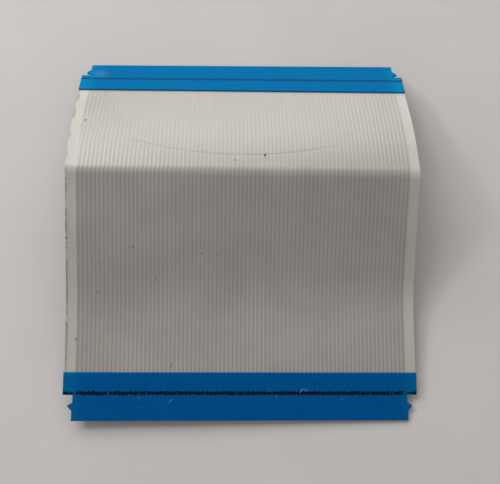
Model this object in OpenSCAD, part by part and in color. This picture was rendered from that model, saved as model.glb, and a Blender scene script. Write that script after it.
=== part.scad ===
// Flat flex cable, 80 ways at 0.5 mm pitch, bent over a soft crest and lying on its two ends.
// X is across the cable, Y runs from the front end to the rear end, Z is up. Millimetres.

/* [Cable] */
// Length of the cable laid flat, from tip edge to tip edge
cable_length = 50; // [44:0.5:64]
// Number of flat conductors
way_count = 80; // [40:1:100]
// Spacing of the conductors, centre to centre
pitch = 0.5; // [0.46:0.01:0.6]
// Width of one conductor
conductor_width = 0.3; // [0.2:0.01:0.36]
// Thickness of one conductor
conductor_thickness = 0.035; // [0.025:0.005:0.08]
// Thickness of the upper film with its adhesive
upper_film_thickness = 0.05; // [0.04:0.005:0.12]
// Thickness of the lower film under the conductors
lower_film_thickness = 0.05; // [0.04:0.005:0.12]
// Height of the ridge that each conductor raises in the upper film
ridge_height = 0.02; // [0.01:0.005:0.03]
// Width of that ridge beyond the conductor, on each side
ridge_spread = 0.02; // [0.01:0.005:0.04]

/* [Ends] */
// Length of the blue stiffener at each end
stiffener_length = 5.7; // [4.8:0.1:7]
// Thickness of the stiffener tape
stiffener_thickness = 0.195; // [0.1:0.005:0.3]
// How far the stiffener stands proud of the body on each side
stiffener_overhang = 0.08; // [0.02:0.01:0.2]
// Bare length of the contacts on the underside of each end
contact_length = 4; // [3:0.1:4.6]
// Width of the ear on each side, by which the body is wider than the tip
ear_width = 1; // [0.8:0.05:1.6]
// Distance from the front tip edge to its shoulders
front_shoulder = 3.05; // [2.7:0.05:3.3]
// Distance from the rear tip edge to its shoulders
rear_shoulder = 2.45; // [2.3:0.05:3.3]
// Distance from a tip edge to the peak of its locating bumps
bump_from_tip = 1.75; // [1.5:0.05:1.8]
// How far a locating bump stands out of the tip's side
bump_height = 0.5; // [0.3:0.05:0.6]
// Length of a locating bump at its foot
bump_length = 1; // [0.8:0.05:1.1]
// How much deeper the side is cut between a bump and its shoulder
notch_relief = 0.1; // [0.02:0.01:0.2]
// Distance from a tip edge to the middle of its insertion mark
mark_from_tip = 3.25; // [3.1:0.01:4]
// Width of the printed insertion mark
mark_width = 0.42; // [0.3:0.02:0.5]
// Thickness of the printed ink
mark_thickness = 0.015; // [0.01:0.005:0.03]

/* [Bends] */
// Rise of the flat front stretch above the table, in degrees
front_rise = 8.5; // [5:0.5:11]
// Length of flat cable behind the front stiffener, before the hollow bend
front_flat = 6.3; // [2:0.1:7.5]
// Radius of the hollow bend behind the front stretch
hollow_radius = 21; // [15:1:30]
// Slope of the cable up to the crest, in degrees
crest_slope = 24; // [20:0.5:30]
// Radius of the crest
crest_radius = 2; // [1.5:0.1:8]
// Slope of the cable just behind the crest, in degrees
shoulder_slope = 13; // [10:0.5:18]
// Radius of the slack bend behind the crest
slack_radius = 32; // [25:1:44]
// Slope of the straight rear stretch down to the table, in degrees
rear_slope = 30.5; // [26:0.5:34]

/* [Hidden] */
// Bends are drawn as short flats that leave the true curve by no more than this
bend_accuracy = 0.015;
cut_clear = 1;
pair_count = ceil(way_count / 2);

// Cables of this kind are cut one pitch wider at the tip than their conductors need
tip_width = pitch * (way_count + 1);
body_width = tip_width + 2 * ear_width;
stiffener_width = body_width + 2 * stiffener_overhang;
front_stretch = stiffener_length + front_flat;

// Levels measured at right angles to the cable from the middle of the conductors
level_contact = -conductor_thickness / 2;
level_bond = conductor_thickness / 2;
level_bottom = level_contact - lower_film_thickness;
level_film_top = level_bond + upper_film_thickness;
level_ridge_top = level_film_top + ridge_height;
level_stiffener_top = level_ridge_top + stiffener_thickness;
level_mark_foot = level_stiffener_top - mark_thickness;

// Lengths of the bends along the cable
function rad(a) = a * PI / 180;
hollow_length = hollow_radius * rad(crest_slope - front_rise);
crest_length = crest_radius * rad(crest_slope + shoulder_slope);
slack_length = slack_radius * rad(rear_slope - shoulder_slope);
straight_left = cable_length - front_stretch - hollow_length - crest_length - slack_length;

// The two straight stretches beside the bends share what is left, so that both tips lie on the table
rise_in_bends = front_stretch * sin(front_rise)
    + hollow_radius * (cos(front_rise) - cos(crest_slope))
    + crest_radius * (cos(shoulder_slope) - cos(crest_slope))
    - slack_radius * (cos(shoulder_slope) - cos(rear_slope));
tip_level_change = level_contact * (cos(front_rise) - cos(rear_slope));
rear_straight = (straight_left * sin(crest_slope) + rise_in_bends - tip_level_change)
    / (sin(crest_slope) + sin(rear_slope));
climb_straight = straight_left - rear_straight;

// Each stretch is [length along the cable, turn in degrees], from the front tip to the rear tip
stretches = [
    [front_stretch, 0],
    [hollow_length, crest_slope - front_rise],
    [climb_straight, 0],
    [crest_length, -crest_slope - shoulder_slope],
    [slack_length, shoulder_slope - rear_slope],
    [rear_straight, 0]
];

// Stations are [distance along the cable, y, z, slope], every few degrees of each bend
function widest_step(k) = 2 * acos(1 - bend_accuracy / (stretches[k][0] / rad(abs(stretches[k][1]))));
function steps(k) = stretches[k][1] == 0 ? 1 : ceil(abs(stretches[k][1]) / widest_step(k));
function chord(len, turn) = turn == 0 ? len : 2 * len / rad(abs(turn)) * sin(abs(turn) / 2);
function walk(k, i, at) =
    k == len(stretches) ? [at]
    : i == steps(k) ? walk(k + 1, 0, at)
    : let (
        l = stretches[k][0] / steps(k),
        t = stretches[k][1] / steps(k),
        c = chord(l, t),
        d = at[3] + t / 2,
        next = [at[0] + l, at[1] + c * cos(d), at[2] + c * sin(d), at[3] + t]
    ) concat([at], walk(k, i + 1, next));
stations = walk(0, 0, [0, 0, 0, front_rise]);
rear_tip = stations[len(stations) - 1];

// The finished cable is centred over the origin and stands on the plane z = 0
front_reach = -level_stiffener_top * sin(front_rise);
rear_reach = rear_tip[1] + level_stiffener_top * sin(rear_slope);
shift_y = -(front_reach + rear_reach) / 2;
shift_z = -level_contact * cos(front_rise);

// A point of the side view at station p, raised by level
function side_point(p, level) = [p[1] - level * sin(p[3]) + shift_y, p[2] + level * cos(p[3]) + shift_z];
// A station on a straight stretch, at distance s from the front tip or from the rear tip
function front_station(s) = [s, s * cos(front_rise), s * sin(front_rise), front_rise];
function rear_station(s) = [cable_length - s, rear_tip[1] - s * cos(rear_slope),
    rear_tip[2] + s * sin(rear_slope), -rear_slope];
function between(a, b) = [for (p = stations) if (p[0] > a + 0.01 && p[0] < cable_length - b - 0.01) p];
// The stations from a after the front tip to b before the rear tip
function run(a, b) = concat([front_station(a)], between(a, b), [rear_station(b)]);
function reversed(v) = [for (i = [len(v) - 1:-1:0]) v[i]];

// A layer of the cable between two levels, as wide as stated, centred on x
module layer(a, b, low, high, width, x = 0) {
    line = run(a, b);
    translate([x - width / 2, 0, 0]) rotate([90, 0, 90])
        linear_extrude(width)
            polygon(concat(
                [for (p = line) side_point(p, low)],
                [for (p = reversed(line)) side_point(p, high)]));
}

// The frame of one end: x across, y from the tip edge toward the body, z up from the conductors
module at_front() { translate([0, shift_y, shift_z]) rotate([front_rise, 0, 0]) children(); }
module at_rear() {
    translate([0, rear_tip[1] + shift_y, rear_tip[2] + shift_z])
        rotate([0, 0, 180]) rotate([rear_slope, 0, 0]) children();
}

// What the die cuts away beside one tip, on the +x side: it leaves the bump and the shoulder
module die_scrap(shoulder) {
    side = tip_width / 2;
    notch = side - notch_relief;
    outer = stiffener_width / 2 + cut_clear;
    linear_extrude(4 * level_stiffener_top, center = true)
        polygon([
            [side, -cut_clear],
            [side, bump_from_tip - bump_length * 0.58],
            [side + bump_height * 0.8, bump_from_tip - bump_length * 0.16],
            [side + bump_height, bump_from_tip],
            [side + bump_height * 0.8, bump_from_tip + bump_length * 0.1],
            [notch, bump_from_tip + bump_length * 0.42],
            [notch, shoulder],
            [outer, shoulder],
            [outer, -cut_clear]
        ]);
}
module die_scraps() {
    at_front() { die_scrap(front_shoulder); mirror([1, 0, 0]) die_scrap(front_shoulder); }
    at_rear() { die_scrap(rear_shoulder); mirror([1, 0, 0]) die_scrap(rear_shoulder); }
}

function way_x(i) = (i - (way_count - 1) / 2) * pitch;

module upper_film() color("whitesmoke")
    difference() {
        union() {
            layer(0, 0, level_bond, level_film_top, body_width);
            for (i = [0:way_count - 1])
                layer(0, 0, level_bond + upper_film_thickness / 2, level_ridge_top,
                    conductor_width + 2 * ridge_spread, way_x(i));
        }
        die_scraps();
    }

module lower_film() color("gainsboro")
    difference() {
        layer(contact_length, contact_length, level_bottom, level_bond, body_width);
        for (i = [0:way_count - 1])
            layer(0, 0, level_contact, level_film_top, conductor_width, way_x(i));
    }

module conductor(i) layer(0, 0, level_contact, level_bond, conductor_width, way_x(i));
module conductor_pair(k) color("silver")
    for (i = [2 * k, 2 * k + 1]) if (i < way_count) conductor(i);

// What the die leaves of a piece that spans the end, in the frame of that end
module die_cut(shoulder)
    difference() {
        children();
        die_scrap(shoulder);
        mirror([1, 0, 0]) die_scrap(shoulder);
    }

module mark_strip()
    translate([-stiffener_width / 2, mark_from_tip - mark_width / 2, level_mark_foot])
        cube([stiffener_width, mark_width, mark_thickness]);

// The printed mark lies flush in the face of the stiffener
module stiffener_plate()
    difference() {
        translate([-stiffener_width / 2, 0, level_ridge_top])
            cube([stiffener_width, stiffener_length, stiffener_thickness]);
        translate([-stiffener_width / 2 - cut_clear, mark_from_tip - mark_width / 2, level_mark_foot])
            cube([stiffener_width + 2 * cut_clear, mark_width, mark_thickness + cut_clear]);
    }

module front_stiffener() color("royalblue") at_front() die_cut(front_shoulder) stiffener_plate();
module rear_stiffener() color("royalblue") at_rear() die_cut(rear_shoulder) stiffener_plate();
module front_insertion_mark() color("black") at_front() die_cut(front_shoulder) mark_strip();
module rear_insertion_mark() color("black") at_rear() die_cut(rear_shoulder) mark_strip();

function two_digits(n) = n < 10 ? str("0", n) : str(n);
function pair_name(k) = str("conductors_", two_digits(2 * k + 1), "_", two_digits(min(2 * k + 2, way_count)));

upper_film();
lower_film();
front_stiffener();
rear_stiffener();
front_insertion_mark();
rear_insertion_mark();
for (k = [0:pair_count - 1]) conductor_pair(k);
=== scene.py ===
# %% [markdown]
# # A flat flex cable, dressed for its portrait
# The cable is two thin plastic films with eighty flat conductors between them, a blue stiffener
# tape on the upper side of both ends, and a printed insertion mark across each tape. It lies on a
# table as a low, lopsided arch. The imported model gives its exact place, and this lesson gives each
# layer its real bends, ridges, cut edges and finish.
# The first cell loads that model.

# %% Load the imported model
import math
import random

import bmesh
import bpy
from mathutils import Matrix, Vector


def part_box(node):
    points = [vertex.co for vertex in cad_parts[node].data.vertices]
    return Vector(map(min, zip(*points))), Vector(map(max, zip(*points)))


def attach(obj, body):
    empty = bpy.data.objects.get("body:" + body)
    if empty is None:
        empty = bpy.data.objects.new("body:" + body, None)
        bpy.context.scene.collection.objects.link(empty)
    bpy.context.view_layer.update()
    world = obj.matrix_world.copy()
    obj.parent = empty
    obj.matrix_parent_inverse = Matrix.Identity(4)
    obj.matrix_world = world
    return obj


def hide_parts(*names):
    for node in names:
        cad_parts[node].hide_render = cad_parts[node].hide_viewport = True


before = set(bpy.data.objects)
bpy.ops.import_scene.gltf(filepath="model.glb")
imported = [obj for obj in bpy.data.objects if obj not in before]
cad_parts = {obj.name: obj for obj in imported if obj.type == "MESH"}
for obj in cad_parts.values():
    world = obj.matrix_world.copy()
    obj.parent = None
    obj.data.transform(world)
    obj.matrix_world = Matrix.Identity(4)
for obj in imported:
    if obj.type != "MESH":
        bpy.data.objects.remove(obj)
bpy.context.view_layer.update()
MM = 0.001

# %% [markdown]
# ## The side view
# Seen from the side, the cable is one line: a flat front stretch, a hollow bend, a straight climb,
# a tight crest, a slack bend and a straight run down. The model draws the bends as short flats.
# A curve object could follow the same line, but arcs worked out from the lengths and radii stay
# exact, and every layer can share them. Two stretches beside the crest share the length that is
# left, so that both tips touch the table.
# The real cable has also kept a slight twist. Two opposite corners, front left and rear right,
# stand off the table, and each lift fades out towards the crest. The front slope bows up along its
# left side and sags a little along its right. Both are milder here than on the real cable, where by
# estimate the rear corner stands two millimetres off and the left side bows up by one and a half.

# %% Lengths, levels and bends, in millimetres
CABLE_LENGTH, PITCH, WAYS = 50, 0.5, 80
FRONT_RISE, CREST_SLOPE, SHOULDER_SLOPE, REAR_SLOPE = 8.5, 24, 13, 30.5
FRONT_STRETCH, HOLLOW_RADIUS, CREST_RADIUS, SLACK_RADIUS = 12, 21, 2, 32
CONTACT, BOND = -0.0175, 0.0175
BOTTOM, FILM_TOP, RIDGE_TOP, TAPE_TOP = -0.0675, 0.0675, 0.0875, 0.2825


def bend(radius, turn):
    """A stretch as (length, turn in radians)."""
    return radius * abs(math.radians(turn)), math.radians(turn)


hollow = bend(HOLLOW_RADIUS, CREST_SLOPE - FRONT_RISE)
crest = bend(CREST_RADIUS, -CREST_SLOPE - SHOULDER_SLOPE)
slack = bend(SLACK_RADIUS, SHOULDER_SLOPE - REAR_SLOPE)
left_over = CABLE_LENGTH - FRONT_STRETCH - hollow[0] - crest[0] - slack[0]
sin_of = {a: math.sin(math.radians(a)) for a in (FRONT_RISE, CREST_SLOPE, REAR_SLOPE)}
cos_of = {a: math.cos(math.radians(a)) for a in (FRONT_RISE, CREST_SLOPE, SHOULDER_SLOPE, REAR_SLOPE)}
rise_in_bends = (FRONT_STRETCH * sin_of[FRONT_RISE]
                 + HOLLOW_RADIUS * (cos_of[FRONT_RISE] - cos_of[CREST_SLOPE])
                 + CREST_RADIUS * (cos_of[SHOULDER_SLOPE] - cos_of[CREST_SLOPE])
                 - SLACK_RADIUS * (cos_of[SHOULDER_SLOPE] - cos_of[REAR_SLOPE]))
tip_change = CONTACT * (cos_of[FRONT_RISE] - cos_of[REAR_SLOPE])
run_down = ((left_over * sin_of[CREST_SLOPE] + rise_in_bends - tip_change)
            / (sin_of[CREST_SLOPE] + sin_of[REAR_SLOPE]))
STRETCHES = [(FRONT_STRETCH, 0), hollow, (left_over - run_down, 0), crest, slack, (run_down, 0)]

tip_low, tip_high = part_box("conductors_01_02")
FRONT_TIP = (tip_low.y / MM + BOND * sin_of[FRONT_RISE], -CONTACT * cos_of[FRONT_RISE])


def side_view(s):
    """(y, z, slope) of the middle of the conductors, s after the front tip."""
    y, z, slope = FRONT_TIP[0], FRONT_TIP[1], math.radians(FRONT_RISE)
    for length, turn in STRETCHES:
        part = min(max(s, 0), length)
        if turn == 0:
            y, z = y + part * math.cos(slope), z + part * math.sin(slope)
        else:
            radius, now = length / turn, turn * part / length
            y += radius * (math.sin(slope + now) - math.sin(slope))
            z -= radius * (math.cos(slope + now) - math.cos(slope))
            slope += now
        s -= length
        if s <= 0:
            break
    return y, z, slope


FRONT_LIFT, REAR_LIFT, FADE, LEVEL_BAND = 1.0, 1.2, 1.25, 0.75
BOW_FROM, LEFT_BOW, RIGHT_BOW = 6, 0.6, 0.5
BODY_WIDTH = PITCH * (WAYS + 1) + 2
CREST_AT = FRONT_STRETCH + hollow[0] + (left_over - run_down) + crest[0] / 2


def lift(x, s):
    """How far twist and bow raise the point x across and s after the front tip."""
    share = x / BODY_WIDTH
    to_front = max(0, 1 - s / (CREST_AT - LEVEL_BAND)) ** FADE
    to_rear = max(0, 1 - (CABLE_LENGTH - s) / (CABLE_LENGTH - CREST_AT - LEVEL_BAND)) ** FADE
    along = min(max((s - BOW_FROM) / (CREST_AT - LEVEL_BAND - BOW_FROM), 0), 1)
    swell = math.sin(math.pi * along) ** (2 if along < 0.5 else 1)
    bow = -2 * share * (LEFT_BOW if share < 0 else RIGHT_BOW) * swell
    return FRONT_LIFT * (0.5 - share) * to_front + REAR_LIFT * (0.5 + share) * to_rear + bow


def spot(x, s, level):
    """The place x across, s after the front tip, and a level above the middle of the conductors."""
    y, z, slope = side_view(s)
    z += lift(x, s)
    return Vector((x, y - level * math.sin(slope), z + level * math.cos(slope)))


end = side_view(CABLE_LENGTH)
print("crest top:", round(max(side_view(i / 10)[1] for i in range(500)), 3),
      "rear tip:", [round(v, 4) for v in end[:2]], "box says", round(tip_high.y / MM, 4))

# %% [markdown]
# ## The cut outline
# A die cuts both ends narrower than the body. On each side of a tip it leaves a small locating
# bump, a notch and a square shoulder, behind which the body's ear begins. As every layer is a
# strip that runs from tip to tip, its half width at each distance is all that is needed. The
# strip gets extra cross-sections where that width changes.

# %% Half width of a layer along the cable
TIP_HALF = PITCH * (WAYS + 1) / 2
BODY_HALF = BODY_WIDTH / 2
TAPE_HALF = BODY_HALF + 0.08
SHOULDERS = {"front": 3.05, "rear": 2.45}
SHOULDER_STEP, CLOSEST_ROWS, TURN_PER_ROW = 0.008, 0.004, 1.5
BUMP = [(0, 0), (1.17, 0), (1.3, 0.10), (1.45, 0.27), (1.58, 0.40), (1.68, 0.475), (1.77, 0.495),
        (1.85, 0.45), (1.93, 0.30), (2.02, 0.12), (2.1, -0.03), (2.2, -0.1)]


def half_width(s, body_half):
    """Half width, s after the front tip, of a layer that is 2 * body_half wide between its ears."""
    to_tip, shoulder = min((s, SHOULDERS["front"]), (CABLE_LENGTH - s, SHOULDERS["rear"]))
    if to_tip >= shoulder:
        return body_half
    for (a, wa), (b, wb) in zip(BUMP, BUMP[1:]):
        if to_tip <= b:
            return TIP_HALF + wa + (wb - wa) * (to_tip - a) / (b - a)
    return TIP_HALF + BUMP[-1][1]


def sections(start, stop, longest=1.0):
    """Distances for cross-sections: at the outline's corners, and close together in the bends."""
    marks = {start, stop}
    for side, shoulder in SHOULDERS.items():
        corners = [b[0] for b in BUMP] + [shoulder - SHOULDER_STEP, shoulder]
        marks |= {c if side == "front" else CABLE_LENGTH - c for c in corners}
    at = 0
    for length, turn in STRETCHES:
        count = max(math.ceil(length / longest), math.ceil(abs(math.degrees(turn)) / TURN_PER_ROW))
        marks |= {at + length * i / count for i in range(count + 1)}
        at += length
    kept = []
    for m in sorted(m for m in marks if start <= m <= stop):
        if not kept or m - kept[-1] > CLOSEST_ROWS:
            kept.append(m)
    return kept


print("sections from tip to tip:", len(sections(0, CABLE_LENGTH)))

# %% [markdown]
# ## Laying a strip
# Each layer starts as one thin row of faces across the cable, made with create_grid. That row is
# extruded, turned and moved from one cross-section to the next, as a press feeds a ribbon, so the
# bends come out of the transforms. Then each cross-section is shaped: its upper and lower faces go
# to their levels, which gives ridges, channels, grooves and dents, and its ends go to the outline.
# A boolean with a cutter could cut the ears too, but it leaves long thin triangles.

# %% Helpers that lay, shape and finish a strip
MARGIN_COLUMNS, SEED_HALF = (0.4, 0.8, 0.97, 1), 0.01


def ways(offsets):
    """Columns at the same offsets from the middle of every conductor."""
    middles = [(i - (WAYS - 1) / 2) * PITCH for i in range(WAYS)]
    return [m + o for m in middles for o in offsets]


def push_on(bm, faces):
    """Extrudes faces and returns the new faces and points.

    Their edges go in as well: with the faces alone, the operator leaves the old ones inside.
    """
    region = faces + list(dict.fromkeys(e for f in faces for e in f.edges))
    made = bmesh.ops.extrude_face_region(bm, geom=region)["geom"]
    return ([g for g in made if isinstance(g, bmesh.types.BMFace)],
            [g for g in made if isinstance(g, bmesh.types.BMVert)])


def lay_strip(name, columns, stations, low, high, body_half=None, slide=lambda x, s: 0):
    """A closed strip between the levels low(x, s) and high(x, s), along the side view.

    Without body_half it has no margins, and every second gap between columns stays open.
    """
    last = max(columns)
    margin = [last + (body_half - last) * t for t in MARGIN_COLUMNS] if body_half else []
    columns = sorted([-m for m in margin] + list(columns) + margin)
    bm = bmesh.new()
    bmesh.ops.create_grid(bm, x_segments=len(columns) - 1, y_segments=1, size=1)
    if not body_half:
        cells = sorted(bm.faces, key=lambda f: f.calc_center_median().x)
        bmesh.ops.delete(bm, geom=cells[1::2], context="FACES")
    y, z, slope = side_view(stations[0])
    for v in bm.verts:
        column = columns[round((v.co.x + 1) / 2 * (len(columns) - 1))]
        v.co = (column, 0, SEED_HALF if v.co.y > 0 else -SEED_HALF)
    bmesh.ops.rotate(bm, verts=bm.verts, matrix=Matrix.Rotation(slope, 3, "X"))
    bmesh.ops.translate(bm, verts=bm.verts, vec=(0, y, z))
    rows = [(stations[0], bm.verts[:])]
    faces = bm.faces[:]
    for s in stations[1:]:
        faces, row = push_on(bm, faces)
        new_y, new_z, new_slope = side_view(s)
        bmesh.ops.rotate(bm, verts=row, cent=(0, y, z),
                         matrix=Matrix.Rotation(new_slope - slope, 3, "X"))
        bmesh.ops.translate(bm, verts=row, vec=(0, new_y - y, new_z - z))
        y, z, slope = new_y, new_z, new_slope
        rows.append((s, row))
    for s, row in rows:
        y, z, slope = side_view(s)
        edge = half_width(s, body_half) if body_half else last
        for v in row:
            x = v.co.x
            is_upper = (v.co.z - z) * math.cos(slope) > (v.co.y - y) * math.sin(slope)
            v.co = spot(x, s + slide(x, s), high(x, s) if is_upper else low(x, s))
            if abs(x) > last:
                beyond = (abs(x) - last) / (body_half - last)
                v.co.x = math.copysign(last + beyond * (edge - last), x)
    bmesh.ops.recalc_face_normals(bm, faces=bm.faces)
    bmesh.ops.scale(bm, verts=bm.verts, vec=(MM, MM, MM))
    return finish_piece(name, bm)


def finish_piece(name, bm, sharp=40):
    """Turns a bmesh into an object with smooth faces and sharp edges past an angle, in degrees."""
    open_edges = sum(not e.is_manifold for e in bm.edges)
    mesh = bpy.data.meshes.new(name)
    bm.to_mesh(mesh)
    bm.free()
    mesh.shade_smooth()
    mesh.set_sharp_from_angle(angle=math.radians(sharp))
    piece = bpy.data.objects.new(name, mesh)
    bpy.context.scene.collection.objects.link(piece)
    triangles = sum(len(p.vertices) - 2 for p in mesh.polygons)
    print(name, "-", triangles, "triangles,", open_edges, "open edges")
    return piece


# %% [markdown]
# ## The upper film
# The upper film is pressed down between the conductors, so that each of them raises a low ridge.
# Four columns per conductor, two at the foot and two on top, give a ridge that smooth shading
# rounds. The model's ridges are two hundredths of a millimetre high. Here the glue has crept into
# the gaps and fills a third of that, but the rest still makes the fine lines along the cable.
# A finger nail has left a long shallow dent across the rear slope. It is the arc of a circle seen
# from above, so the distance to that circle says how deep each point sinks. The strip gets closer
# cross-sections there, because a dent can only be as fine as the rows that carry it.

# %% Lay the upper film
RIDGE_FOOT, RIDGE_EDGE = 0.19, 0.115
GAP_TOP = 0.0745


def on_ridge(x):
    """1 on top of a ridge and 0 between two ridges or in the margins."""
    way = (x / PITCH) % 1 - 0.5
    inside = abs(x) < WAYS * PITCH / 2
    return 1.0 if inside and abs(way * PITCH) < (RIDGE_FOOT + RIDGE_EDGE) / 2 else 0.0


DENT_X, DENT_Y, DENT_RADIUS = -0.27, 50.69, 42.96
DENT_FROM, DENT_TO, DENT_DEPTH, DENT_WIDTH = -15.4, 12.8, 0.016, 0.22
DENT_ROWS = [32.0 + 0.14 * i for i in range(24)]


def dent(x, s):
    """How deep the nail's dent is."""
    if not (DENT_FROM < x < DENT_TO and DENT_ROWS[0] < s < DENT_ROWS[-1]):
        return 0
    off = abs(math.hypot(x - DENT_X, spot(x, s, RIDGE_TOP).y - DENT_Y) - DENT_RADIUS) / DENT_WIDTH
    ends = min(1, (x - DENT_FROM) / 3, (DENT_TO - x) / 3)
    return DENT_DEPTH * ends * max(0, 1 - off * off) ** 2


def upper_top(x, s):
    valley = GAP_TOP if abs(x) < WAYS * PITCH / 2 else FILM_TOP
    return valley + (RIDGE_TOP - valley) * on_ridge(x) - dent(x, s)


film_rows = sorted(sections(0, CABLE_LENGTH) + DENT_ROWS)
upper = lay_strip("upper_film_skin", ways((-RIDGE_FOOT, -RIDGE_EDGE, RIDGE_EDGE, RIDGE_FOOT)),
                  film_rows, lambda x, s: BOND, upper_top, BODY_HALF)
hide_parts("upper_film")
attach(upper, "root")

# %% [markdown]
# ## The conductors
# Eighty flat strips of tinned copper run from tip to tip between the films. They are laid by the
# same helper: one row of faces, from which every second one is taken out, is extruded along the
# side view, so all eighty are made in one pass. An array modifier would do the same, but the twist
# bends each of them a little differently.

# %% Lay the conductors
CONDUCTOR_HALF = 0.15
conductors = lay_strip("conductor_strips", ways((-CONDUCTOR_HALF, CONDUCTOR_HALF)),
                       sections(0, CABLE_LENGTH), lambda x, s: CONTACT, lambda x, s: BOND)
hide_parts(*[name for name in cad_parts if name.startswith("conductors")])
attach(conductors, "root")

# %% [markdown]
# ## The lower film
# The lower film is smooth underneath and has a channel for each conductor. It stops four
# millimetres short of both tips, where the bare contacts are. The same helper lays it, with the
# channel's floor as its upper level under each conductor.

# %% Lay the lower film
CONTACT_LENGTH, WALL = 4, 0.004


def lower_top(x, s):
    way = abs((x / PITCH) % 1 - 0.5) * PITCH
    return CONTACT if way < CONDUCTOR_HALF + WALL / 4 and abs(x) < WAYS * PITCH / 2 else BOND


channel = (-CONDUCTOR_HALF - WALL, -CONDUCTOR_HALF, CONDUCTOR_HALF, CONDUCTOR_HALF + WALL)
lower = lay_strip("lower_film_skin", ways(channel),
                  sections(CONTACT_LENGTH, CABLE_LENGTH - CONTACT_LENGTH),
                  lambda x, s: BOTTOM, lower_top, BODY_HALF)
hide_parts("lower_film")
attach(lower, "root")

# %% [markdown]
# ## The stiffener tapes
# A blue tape, two tenths of a millimetre thick, stiffens both ends. It is laid over the ridges, so
# its face ripples very slightly at the pitch of the conductors. A flat plate would do from far
# away, but the ripple is what breaks up the light on the real tape. Its cut edges are rounded by
# the laminating roller, which gives them a thin line of light.

# %% Lay both stiffener tapes
TAPE_LENGTH, RIPPLE = 5.7, 0.006
ROUNDED = 0.06


def ripple(x):
    """How far the tape's face sinks between two ridges."""
    wave = 0.5 + 0.5 * math.cos(2 * math.pi * x / PITCH)
    return 0 if abs(x) > WAYS * PITCH / 2 else RIPPLE * wave


def tape_top(x, s):
    from_end = min(TAPE_LENGTH - min(s, CABLE_LENGTH - s), (TAPE_HALF - abs(x)))
    fall = ROUNDED * max(0, 1 - from_end / ROUNDED) ** 2
    return TAPE_TOP - ripple(x) - fall


tapes = []
for side, reach in (("front", (0, TAPE_LENGTH)), ("rear", (CABLE_LENGTH - TAPE_LENGTH, CABLE_LENGTH))):
    inner = TAPE_LENGTH if side == "front" else CABLE_LENGTH - TAPE_LENGTH
    towards_tip = -1 if side == "front" else 1
    edge_rows = [inner + towards_tip * ROUNDED * t for t in (0.3, 0.65, 1)]
    tape = lay_strip(side + "_tape", ways((-0.25, -0.125, 0, 0.125)) + [WAYS * PITCH / 2],
                     sorted(sections(*reach) + edge_rows), lambda x, s: RIDGE_TOP, tape_top, TAPE_HALF)
    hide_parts(side + "_stiffener")
    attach(tape, "root")
    tapes.append(tape)

# %% [markdown]
# ## The insertion marks
# The insertion mark tells a fitter how far to push the cable in. It is a printed line of black ink,
# a few thousandths of a millimetre thick. The ink flowed along the ripples of the tape, so both
# of its edges are ragged, with a bead at every conductor. A texture could fake that, but a strip
# whose edge rows slide to and fro gives the same edge and stays sharp up close.

# %% Print both marks
random.seed(80)
MARK_MIDDLE, MARK_HALF, INK = 3.25, 0.21, 0.004
BEAD, RAGGED = 0.05, 0.07


def print_mark(side):
    """A thin strip of ink across one tape, with beaded and ragged long edges."""
    towards_tip = -1 if side == "front" else 1
    middle = MARK_MIDDLE if side == "front" else CABLE_LENGTH - MARK_MIDDLE
    shoulder = SHOULDERS[side]
    raggedness = {}

    def slide(x, s):
        key = (round(x, 3), round(s, 3))
        if key not in raggedness:
            raggedness[key] = random.uniform(-1, 1)
        out = (s - middle) / MARK_HALF
        bead = BEAD * math.cos(2 * math.pi * (x / PITCH + 0.5)) * out
        moved = s + bead + RAGGED * raggedness[key] * abs(out)
        if abs(x) > TIP_HALF - 0.2:
            to_tip = max(shoulder + 0.01, moved if side == "front" else CABLE_LENGTH - moved)
            moved = to_tip if side == "front" else CABLE_LENGTH - to_tip
        return moved - s

    rows = [middle + MARK_HALF * t for t in (-1, -0.5, 0, 0.5, 1)]
    mark = lay_strip(side + "_mark_ink", ways((-0.1875, -0.0625, 0.0625, 0.1875)), rows,
                     lambda x, s: TAPE_TOP - ripple(x) - INK, lambda x, s: TAPE_TOP - ripple(x) + INK,
                     TAPE_HALF - ROUNDED, slide)
    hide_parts(side + "_insertion_mark")
    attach(mark, "root")
    return mark


marks = [print_mark("front"), print_mark("rear")]

# %% [markdown]
# ## Dust and crumbs
# The cable has been used: a few dark crumbs lie on the film, pale dust and two white fibres lie on
# the front tape, and brown dirt clings to the left cut edge. Each crumb is an icosphere with its
# points pushed in and out, pressed flat and set down at its place, and each is different. A
# particle system could scatter them, but these lie where they were found.

# %% Crumbs, dust and fibres
def crumb(bm, x, s, size, level, stretch=1.0):
    """One crumb, size millimetres across, that lies on the face at a level."""
    made = bmesh.ops.create_icosphere(bm, subdivisions=1, radius=size / 2)["verts"]
    for v in made:
        v.co *= random.uniform(0.7, 1.2)
    bmesh.ops.scale(bm, verts=made, vec=(random.uniform(0.6, 0.9), stretch, 0.45))
    turn = random.uniform(-0.6, 0.6)
    bmesh.ops.rotate(bm, verts=made, matrix=Matrix.Rotation(turn, 3, "Z"))
    bmesh.ops.rotate(bm, verts=made, matrix=Matrix.Rotation(side_view(s)[2], 3, "X"))
    bmesh.ops.translate(bm, verts=made, vec=spot(x, s, level + 0.1 * size))


def settle(name, crumbs, level):
    """All crumbs of one kind as one object."""
    bm = bmesh.new()
    for x, s, size, stretch in crumbs:
        crumb(bm, x, s, size, level, stretch)
    bmesh.ops.scale(bm, verts=bm.verts, vec=(MM, MM, MM))
    piece = finish_piece(name, bm, 60)
    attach(piece, "root")
    return piece


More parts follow.
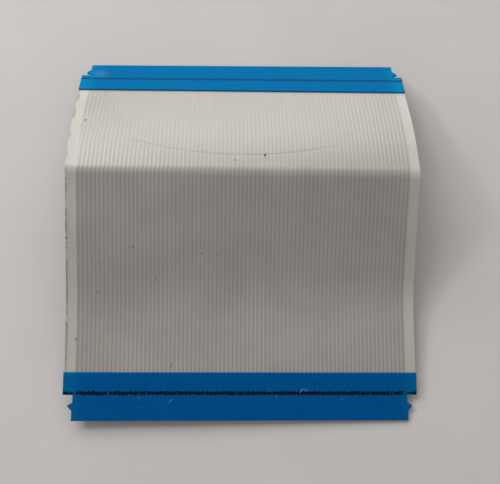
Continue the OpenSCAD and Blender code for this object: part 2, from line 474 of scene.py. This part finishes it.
DARK_CRUMBS = [(2.47, 32.51, 0.3, 1.5), (-1.16, 31.72, 0.2, 1), (6.27, 35.73, 0.16, 0.7),
               (-13.3, 20.88, 0.24, 1), (-10.56, 17.09, 0.16, 1), (-5.02, 20.22, 0.16, 1.3),
               (-3.2, 19.99, 0.14, 1), (17.68, 35.44, 0.16, 1), (17.17, 28.4, 0.18, 0.6),
               (13.16, 25.68, 0.14, 1), (16.52, 21.79, 0.14, 1), (-6.17, 40.47, 0.14, 1),
               (-17.36, 20.11, 0.15, 1), (-17.39, 18.76, 0.12, 1), (-17.54, 15.32, 0.14, 1)]
BROWN_CRUMBS = [(-19.64, 37.88, 0.3, 0.8), (-20.06, 9.63, 0.22, 1.2), (-16.39, 11.08, 0.14, 1),
                (-8.62, 6.5, 0.13, 5), (-21.14, 29.06, 0.14, 2.4), (-21.15, 21.89, 0.15, 2.2),
                (-21.16, 20.68, 0.16, 2), (-21.16, 16.14, 0.12, 2.6), (-21.15, 12.74, 0.12, 2.2),
                (-21.16, 11.3, 0.13, 2)]
PALE_DUST = [(-12.34, 2.68, 0.12, 0.8), (-9.71, 1.51, 0.08, 1),
             (-11.1, 1.55, 0.08, 1.2), (4.09, 2.78, 0.12, 1), (12.11, 2.55, 0.13, 1),
             (11.7, 2.4, 0.08, 1), (-12.45, 1.6, 0.07, 1), (-11.85, 1.6, 0.07, 1)]
dark_crumbs = settle("dark_crumbs", DARK_CRUMBS, RIDGE_TOP)
brown_crumbs = settle("brown_crumbs", BROWN_CRUMBS, RIDGE_TOP)
pale_dust = settle("pale_dust", PALE_DUST, TAPE_TOP)

FIBRES = [[(-8.9, 2.16), (-8.66, 2.3), (-8.45, 2.42), (-8.26, 2.6)],
          [(6.95, 3.3), (7.2, 3.62), (7.5, 3.82), (7.72, 3.5), (8.0, 3.72)]]
FIBRE_HALF = 0.022


def fibre(bm, path):
    """A thin four-sided hair along a path of (x, s) on the tape."""
    loop = bmesh.ops.create_circle(bm, segments=4, radius=FIBRE_HALF, cap_ends=True)["verts"]
    faces = list({f for v in loop for f in v.link_faces})
    place = spot(*path[0], TAPE_TOP + FIBRE_HALF)
    bmesh.ops.rotate(bm, verts=loop, matrix=Matrix.Rotation(math.pi / 2, 3, "X"))
    bmesh.ops.translate(bm, verts=loop, vec=place)
    for stop in path[1:]:
        faces, row = push_on(bm, faces)
        new_place = spot(*stop, TAPE_TOP + FIBRE_HALF)
        bmesh.ops.translate(bm, verts=row, vec=new_place - place)
        place = new_place


bm = bmesh.new()
for path in FIBRES:
    fibre(bm, path)
bmesh.ops.recalc_face_normals(bm, faces=bm.faces)
bmesh.ops.scale(bm, verts=bm.verts, vec=(MM, MM, MM))
fibres = finish_piece("white_fibres", bm, 60)
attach(fibres, "root")

# %% [markdown]
# ## Finishes: small tools
# A material is a tree of nodes. These helpers add a node, join its inputs and return its output,
# so that a finish reads as a short list of what is mixed with what.

# %% Helpers for materials
def fill(tree, made, inputs):
    """Joins a node's inputs to sockets, or sets them to plain values."""
    for key, value in inputs.items():
        if isinstance(value, bpy.types.NodeSocket):
            tree.links.new(value, made.inputs[key])
        else:
            made.inputs[key].default_value = value
    return made


def node(tree, kind, inputs=None, **settings):
    """Adds a node, sets its properties, and joins or sets its inputs by name or number."""
    made = tree.nodes.new(kind)
    for key, value in settings.items():
        setattr(made, key, value)
    return fill(tree, made, inputs or {})


def calc(tree, operation, *values, clamp=False):
    """One Math node."""
    return node(tree, "ShaderNodeMath", dict(enumerate(values)), operation=operation,
                use_clamp=clamp).outputs[0]


def between(tree, value, low, high, to_low=0.0, to_high=1.0):
    """Smoothly maps low..high to to_low..to_high."""
    return node(tree, "ShaderNodeMapRange",
                {"Value": value, "From Min": low, "From Max": high, "To Min": to_low,
                 "To Max": to_high}, interpolation_type="SMOOTHSTEP").outputs[0]


def mix(tree, amount, a, b, blend="MIX"):
    """Mixes two colours, by a number or a socket."""
    return node(tree, "ShaderNodeMix", {0: amount, 6: a, 7: b}, data_type="RGBA",
                blend_type=blend).outputs[2]


def noise(tree, place, scale, detail):
    """One Noise Texture's value."""
    return node(tree, "ShaderNodeTexNoise", {"Vector": place, "Scale": scale, "Detail": detail}).outputs[0]


def grey(value, tint=(1, 1, 1)):
    return (value * tint[0], value * tint[1], value * tint[2], 1)


def new_finish(name, **sockets):
    """A material with one Principled BSDF, whose plain values are set on its own sockets."""
    material = bpy.data.materials.new(name)
    material.use_nodes = True
    tree = material.node_tree
    shader = tree.nodes["Principled BSDF"]
    for key, value in sockets.items():
        shader.inputs[key.replace("_", " ")].default_value = value
    place = node(tree, "ShaderNodeTexCoord").outputs["Object"]
    return material, tree, shader, place


def dress(material, *objects):
    for o in objects:
        o.data.materials.clear()
        o.data.materials.append(material)


def new_group(name, inputs, outputs):
    """A shader node group with named inputs (name, kind, default) and outputs (name, kind)."""
    group = bpy.data.node_groups.new(name, "ShaderNodeTree")
    for label, kind, value in inputs:
        socket = group.interface.new_socket(label, in_out="INPUT", socket_type="NodeSocket" + kind)
        if value is not None:
            socket.default_value = value
    for label, kind in outputs:
        group.interface.new_socket(label, in_out="OUTPUT", socket_type="NodeSocket" + kind)
    return group, node(group, "NodeGroupInput"), node(group, "NodeGroupOutput")


def use(tree, group, inputs):
    """Places a node group and joins or sets its inputs."""
    made = node(tree, "ShaderNodeGroup", node_tree=group)
    return fill(tree, made, inputs)


def away(tree, x, y, middle_x, middle_y):
    """Distance from above to a point given in millimetres."""
    from_x = calc(tree, "SUBTRACT", x, middle_x * MM)
    from_y = calc(tree, "SUBTRACT", y, middle_y * MM)
    squares = calc(tree, "ADD", calc(tree, "MULTIPLY", from_x, from_x),
                   calc(tree, "MULTIPLY", from_y, from_y))
    return calc(tree, "SQRT", squares)


print("helpers ready")

# %% [markdown]
# ## A shared effect: the conductors seen through plastic
# Both films and, faintly, the tapes show where the conductors are. The mask is worked out from the
# place across the cable: the distance to the middle of the nearest conductor, in metres, compared
# with half its width. Counting with a modulo gives all eighty from four nodes.

# %% Group: conductor stripes
stripes, g_in, g_out = new_group(
    "conductor stripes",
    [("Position", "Vector", None), ("Half Width", "Float", 0.00015), ("Softness", "Float", 0.00004)],
    [("Stripe", "Float"), ("Inside", "Float")])
across = node(stripes, "ShaderNodeSeparateXYZ", {0: g_in.outputs["Position"]}).outputs["X"]
turns = calc(stripes, "ADD", calc(stripes, "DIVIDE", across, PITCH * MM), 1000)
offset = calc(stripes, "ABSOLUTE", calc(stripes, "SUBTRACT", calc(stripes, "FRACT", turns), 0.5))
distance = calc(stripes, "MULTIPLY", offset, PITCH * MM)
outer = calc(stripes, "ADD", g_in.outputs["Half Width"], g_in.outputs["Softness"])
inner = calc(stripes, "SUBTRACT", g_in.outputs["Half Width"], g_in.outputs["Softness"])
stripe = between(stripes, distance, inner, outer, 1.0, 0.0)
inside = between(stripes, calc(stripes, "ABSOLUTE", across), 0.01996, 0.02004, 1.0, 0.0)
stripes.links.new(calc(stripes, "MULTIPLY", stripe, inside), g_out.inputs["Stripe"])
stripes.links.new(inside, g_out.inputs["Inside"])
print("group:", stripes.name, len(stripes.nodes), "nodes")

# %% [markdown]
# ## A shared effect: fine grain
# Plastic that has been handled is never even: it has a faint cloudiness and a very fine grain that
# spreads its highlights. Two noises of different sizes give a value for colour and a height for
# bump. Each material chooses how much of it to use.

# %% Group: handled surface
handled, g_in, g_out = new_group(
    "handled surface",
    [("Position", "Vector", None), ("Cloud Size", "Float", 220.0), ("Grain Size", "Float", 6000.0)],
    [("Cloud", "Float"), ("Grain", "Float")])
cloud = node(handled, "ShaderNodeTexNoise",
             {"Vector": g_in.outputs["Position"], "Scale": g_in.outputs["Cloud Size"], "Detail": 3.0})
grain = node(handled, "ShaderNodeTexNoise",
             {"Vector": g_in.outputs["Position"], "Scale": g_in.outputs["Grain Size"], "Detail": 2.0})
handled.links.new(cloud.outputs[0], g_out.inputs["Cloud"])
handled.links.new(grain.outputs[0], g_out.inputs["Grain"])
print("group:", handled.name)

# %% [markdown]
# ## The finish of the films
# The film is clear polyester over white glue. Between the conductors it is a warm, milky white.
# Over a conductor the tinned copper shows through as a slightly darker, more mirror-like grey, so
# it follows the light more than the gaps do. The cut margins are paler. The left cut edge is
# stained, and a nail has left one faint curved line across the rear slope.

# %% Finish: film
DENT_ENDS, LINE_HALF, STAIN_FROM, STAIN_TO = 3, 0.14, -20.85, -21.2


def film_finish(name, gap, metal, margin, stain):
    material, tree, shader, place = new_finish(
        name, Coat_Weight=0.35, Coat_Roughness=0.22, Coat_IOR=1.45, IOR=1.5)
    lines = use(tree, stripes, {"Position": place, "Half Width": 0.000155, "Softness": 0.00004})
    worn = use(tree, handled, {"Position": place, "Cloud Size": 180.0, "Grain Size": 5200.0})
    x, y, z = node(tree, "ShaderNodeSeparateXYZ", {0: place}).outputs
    base = mix(tree, lines.outputs["Inside"], margin, gap)
    base = mix(tree, lines.outputs["Stripe"], base, metal)
    # The dent's dark line, which shows on the ridges and not between them
    off = calc(tree, "ABSOLUTE", calc(tree, "SUBTRACT", away(tree, x, y, DENT_X, DENT_Y), DENT_RADIUS * MM))
    line = calc(tree, "MULTIPLY", between(tree, off, 0.02 * MM, LINE_HALF * MM, 1.0, 0.0),
                between(tree, x, DENT_FROM * MM, (DENT_FROM + DENT_ENDS) * MM))
    line = calc(tree, "MULTIPLY", line,
                between(tree, x, (DENT_TO - DENT_ENDS) * MM, DENT_TO * MM, 1.0, 0.0))
    line = calc(tree, "MULTIPLY", line, calc(tree, "MULTIPLY_ADD", lines.outputs["Stripe"], 0.3, 0.1))
    base = mix(tree, line, base, grey(0.12, (1, 0.95, 0.85)))
    cloudy = between(tree, worn.outputs["Cloud"], 0.3, 0.7, 0.95, 1.03)
    base = mix(tree, 1.0, base, node(tree, "ShaderNodeCombineColor",
                                     {0: cloudy, 1: cloudy, 2: cloudy}).outputs[0], "MULTIPLY")
    # The stain sits on the left cut edge, in patches
    patches = noise(tree, place, 420.0, 4.0)
    near_edge = between(tree, x, STAIN_FROM * MM, STAIN_TO * MM)
    dirty = calc(tree, "MULTIPLY", near_edge, between(tree, patches, 0.42, 0.6))
    base = mix(tree, calc(tree, "MULTIPLY", dirty, stain), base, grey(1, (0.22, 0.17, 0.07)))
    tree.links.new(base, shader.inputs["Base Color"])
    tree.links.new(calc(tree, "MULTIPLY", lines.outputs["Stripe"], 0.3), shader.inputs["Metallic"])
    tree.links.new(between(tree, worn.outputs["Cloud"], 0.3, 0.7, 0.36, 0.46), shader.inputs["Roughness"])
    bump = node(tree, "ShaderNodeBump", {"Strength": 0.08, "Distance": 0.00002,
                                         "Height": worn.outputs["Grain"]})
    tree.links.new(bump.outputs[0], shader.inputs["Normal"])
    return material


GAP = grey(0.408, (1, 0.955, 0.875))
METAL = grey(0.378, (1, 0.95, 0.885))
MARGIN = grey(0.50, (1, 0.97, 0.875))
dress(film_finish("film_over_conductors", GAP, METAL, MARGIN, 0.7), upper)
dress(film_finish("film_under_conductors", GAP, METAL, MARGIN, 0.3), lower)
print("films dressed")

# %% [markdown]
# ## The finish of the tapes
# The tape is dyed blue polyester. Its colours are darker on the front tape, as painted shade, and
# lighter on the rear tape, as painted light. Both are a little lighter where no conductors lie under
# them, and carry faint streaks at the conductors' pitch. One function with four colours makes both,
# so the two tapes differ in colour alone.

# %% Finish: stiffener tape
SCUFF_X, SCUFF_Y, SCUFF_REACH = -18.9, 21.5, 1.4


def tape_finish(name, body, streak, margin_colour, cloud_colour):
    blue, tree, shader, place = new_finish(name, Specular_IOR_Level=0.01, IOR=1.5)
    lines = use(tree, stripes, {"Position": place, "Half Width": 0.00012, "Softness": 0.00011})
    worn = use(tree, handled, {"Position": place, "Cloud Size": 500.0, "Grain Size": 7000.0})
    x, y, z = node(tree, "ShaderNodeSeparateXYZ", {0: place}).outputs
    in_margin = between(tree, calc(tree, "ABSOLUTE", x), 18.6 * MM, 20.8 * MM)
    base = mix(tree, in_margin, body, margin_colour)
    base = mix(tree, calc(tree, "MULTIPLY", lines.outputs["Stripe"], 0.25), base, streak)
    base = mix(tree, between(tree, worn.outputs["Cloud"], 0.35, 0.75, 0.0, 0.3), base, cloud_colour)
    # A pale scuff beside the rear left bump
    scuff = between(tree, away(tree, x, y, SCUFF_X, SCUFF_Y), 0.1 * MM, SCUFF_REACH * MM, 0.14, 0.0)
    base = mix(tree, scuff, base, (0.16, 0.42, 0.55, 1))
    tree.links.new(base, shader.inputs["Base Color"])
    tree.links.new(between(tree, worn.outputs["Cloud"], 0.3, 0.7, 0.38, 0.5), shader.inputs["Roughness"])
    bump = node(tree, "ShaderNodeBump",
                {"Strength": 0.15, "Distance": 0.00002, "Height": worn.outputs["Grain"]})
    tree.links.new(bump.outputs[0], shader.inputs["Normal"])
    return blue


# The front tape's colours are darkened as painted shade, and the rear tape's lightened as painted light.
dress(tape_finish("front_blue_painted_shade", (0.0005, 0.086, 0.285, 1), (0.0004, 0.070, 0.235, 1),
                  (0.0008, 0.118, 0.295, 1), (0.001, 0.105, 0.315, 1)), tapes[0])
dress(tape_finish("rear_blue_painted_light", (0.0005, 0.144, 0.357, 1), (0.0004, 0.122, 0.315, 1),
                  (0.0008, 0.20, 0.41, 1), (0.001, 0.165, 0.385, 1)), tapes[1])
print("tapes dressed")

# %% [markdown]
# ## The finish of the marks
# The ink is a matt black that the blue of the tape tints. On the rear mark its colour is lighter,
# as painted light like the rear tape's. It is thin in some places and worn off near both ears.
# Noise decides where the blue shows through.

# %% Finish: ink
def ink_finish(name, ink_colour, worn_from):
    ink, tree, shader, place = new_finish(name, Specular_IOR_Level=0.05, IOR=1.45)
    beads = noise(tree, place, 2600.0, 3.0)
    across = calc(tree, "ABSOLUTE", node(tree, "ShaderNodeSeparateXYZ", {0: place}).outputs["X"])
    rubbed = calc(tree, "MULTIPLY", between(tree, across, 19.5 * MM, 19.8 * MM),
                  between(tree, across, 20.0 * MM, 20.3 * MM, 1.0, 0.0))
    wear = calc(tree, "MULTIPLY_ADD", rubbed, 0.3, beads)
    thin = between(tree, wear, worn_from, worn_from + 0.1)
    base = mix(tree, thin, ink_colour, (0.001, 0.095, 0.25, 1))
    tree.links.new(base, shader.inputs["Base Color"])
    tree.links.new(between(tree, beads, 0.3, 0.7, 0.5, 0.7), shader.inputs["Roughness"])
    return ink


dress(ink_finish("front_ink", (0.0035, 0.0085, 0.02, 1), 0.61), marks[0])
# The rear ink's lighter blue is painted light, as on the rear tape.
dress(ink_finish("rear_ink_painted_light", (0.002, 0.062, 0.18, 1), 0.54), marks[1])
print("marks dressed")

# %% [markdown]
# ## The finish of the dirt
# The crumbs are matt and almost black, the dirt on the cut edge is olive brown, and the dust and
# the fibres are pale. Each gets a little variation, so that no two look the same.

# %% Finish: crumbs, dust and fibres
for name, piece, dark, light in (
        ("crumb_black", dark_crumbs, (0.02, 0.018, 0.015, 1), (0.07, 0.062, 0.05, 1)),
        ("crumb_brown", brown_crumbs, (0.09, 0.07, 0.03, 1), (0.2, 0.16, 0.08, 1)),
        ("dust_pale", pale_dust, (0.25, 0.33, 0.4, 1), (0.5, 0.6, 0.65, 1)),
        ("fibre_white", fibres, (0.4, 0.42, 0.42, 1), (0.65, 0.66, 0.65, 1))):
    dirt, tree, shader, place = new_finish(name, IOR=1.4)
    patches = noise(tree, place, 5000.0, 2.0)
    tree.links.new(mix(tree, between(tree, patches, 0.4, 0.6), dark, light), shader.inputs["Base Color"])
    tree.links.new(between(tree, patches, 0.3, 0.7, 0.75, 0.9), shader.inputs["Roughness"])
    dress(dirt, piece)
print("dirt dressed")

# %% [markdown]
# ## The finish of the conductors
# The conductors are tinned copper. They are bare for four millimetres on the underside of both
# ends, where they wipe along the contacts of a connector, and carry fine lengthwise scratches.

# %% Finish: tinned copper
tin, tree, shader, place = new_finish("tinned_copper", Metallic=1.0)
stretch = node(tree, "ShaderNodeMapping", {"Vector": place, "Scale": (9000.0, 300.0, 300.0)}).outputs[0]
scratches = noise(tree, stretch, 1.0, 3.0)
tree.links.new(mix(tree, between(tree, scratches, 0.3, 0.7), grey(0.58, (1, 0.99, 0.97)),
                   grey(0.72, (1, 0.99, 0.97))), shader.inputs["Base Color"])
tree.links.new(between(tree, scratches, 0.3, 0.7, 0.24, 0.38), shader.inputs["Roughness"])
dress(tin, conductors)
print("conductors dressed")

# %% [markdown]
# ## The table
# The cable lies on a pale, warm grey table top. A wide plane is enough, with a faint cloudiness so
# that it doesn't look like a cut-out.

# %% Table top
TABLE_HALF = 1.5
bm = bmesh.new()
bmesh.ops.create_grid(bm, x_segments=1, y_segments=1, size=TABLE_HALF)
table_mesh = bpy.data.meshes.new("table_top")
bm.to_mesh(table_mesh)
bm.free()
table_top = bpy.data.objects.new("table_top", table_mesh)
bpy.context.scene.collection.objects.link(table_top)
paint, tree, shader, place = new_finish("table_paint", IOR=1.4)
soft = noise(tree, place, 60.0, 4.0)
tree.links.new(mix(tree, between(tree, soft, 0.3, 0.7), grey(0.60, (1, 0.955, 0.93)),
                   grey(0.63, (1, 0.955, 0.93))), shader.inputs["Base Color"])
shader.inputs["Roughness"].default_value = 0.7
dress(paint, table_top)
print("table ready")

# %% [markdown]
# ## Light
# The light comes from a window behind and to the left, so the rear slope is bright, the front
# slope is in half shade, and a soft shadow falls to the right. One area light casts that shadow, a
# wide card behind lights the rear slope, and an even grey world fills the rest.

# %% Lights and world
def area_light(name, direction, distance, size, power, colour=(1, 1, 1)):
    """A square light that looks at the cable from a direction, at a distance in metres."""
    data = bpy.data.lights.new(name, "AREA")
    data.size = size
    data.energy = power
    data.color = colour
    light = bpy.data.objects.new(name, data)
    bpy.context.scene.collection.objects.link(light)
    towards = Vector(direction).normalized()
    light.matrix_world = (Matrix.Translation(towards * distance)
                          @ towards.to_track_quat("Z", "Y").to_matrix().to_4x4())
    return light


area_light("window", (-0.761, 0.298, 0.575), 0.35, 0.05, 0.204)
area_light("wide_window", (-0.55, 0.62, 0.57), 0.45, 0.30, 1.088)
area_light("back_card_low", (0.05, 0.94, 0.34), 0.45, 0.30, 0.52)
area_light("back_card_high", (0.05, 0.77, 0.64), 0.45, 0.30, 0.212)
world = bpy.data.worlds.new("room")
bpy.context.scene.world = world
world.use_nodes = True
world.node_tree.nodes["Background"].inputs["Color"].default_value = grey(1, (1, 0.985, 0.97))
world.node_tree.nodes["Background"].inputs["Strength"].default_value = 0.343
bpy.context.scene.view_settings.view_transform = "Standard"
print("lights ready")

# %% [markdown]
# ## Camera
# The camera looks down from above the front edge, a few degrees off square. The lens is a little
# longer than normal, so the far end is only slightly smaller.

# %% Camera
camera_data = bpy.data.cameras.new("camera")
camera_data.lens = 51.68
camera_data.sensor_width = 36
camera_data.clip_start = 0.005
camera = bpy.data.objects.new("camera", camera_data)
bpy.context.scene.collection.objects.link(camera)
camera.location = (-3.368 * MM, -24.037 * MM, 89.272 * MM)
camera.rotation_euler = [math.radians(a) for a in (14.424, -2.764, -0.187)]
bpy.context.scene.camera = camera
print("camera ready")
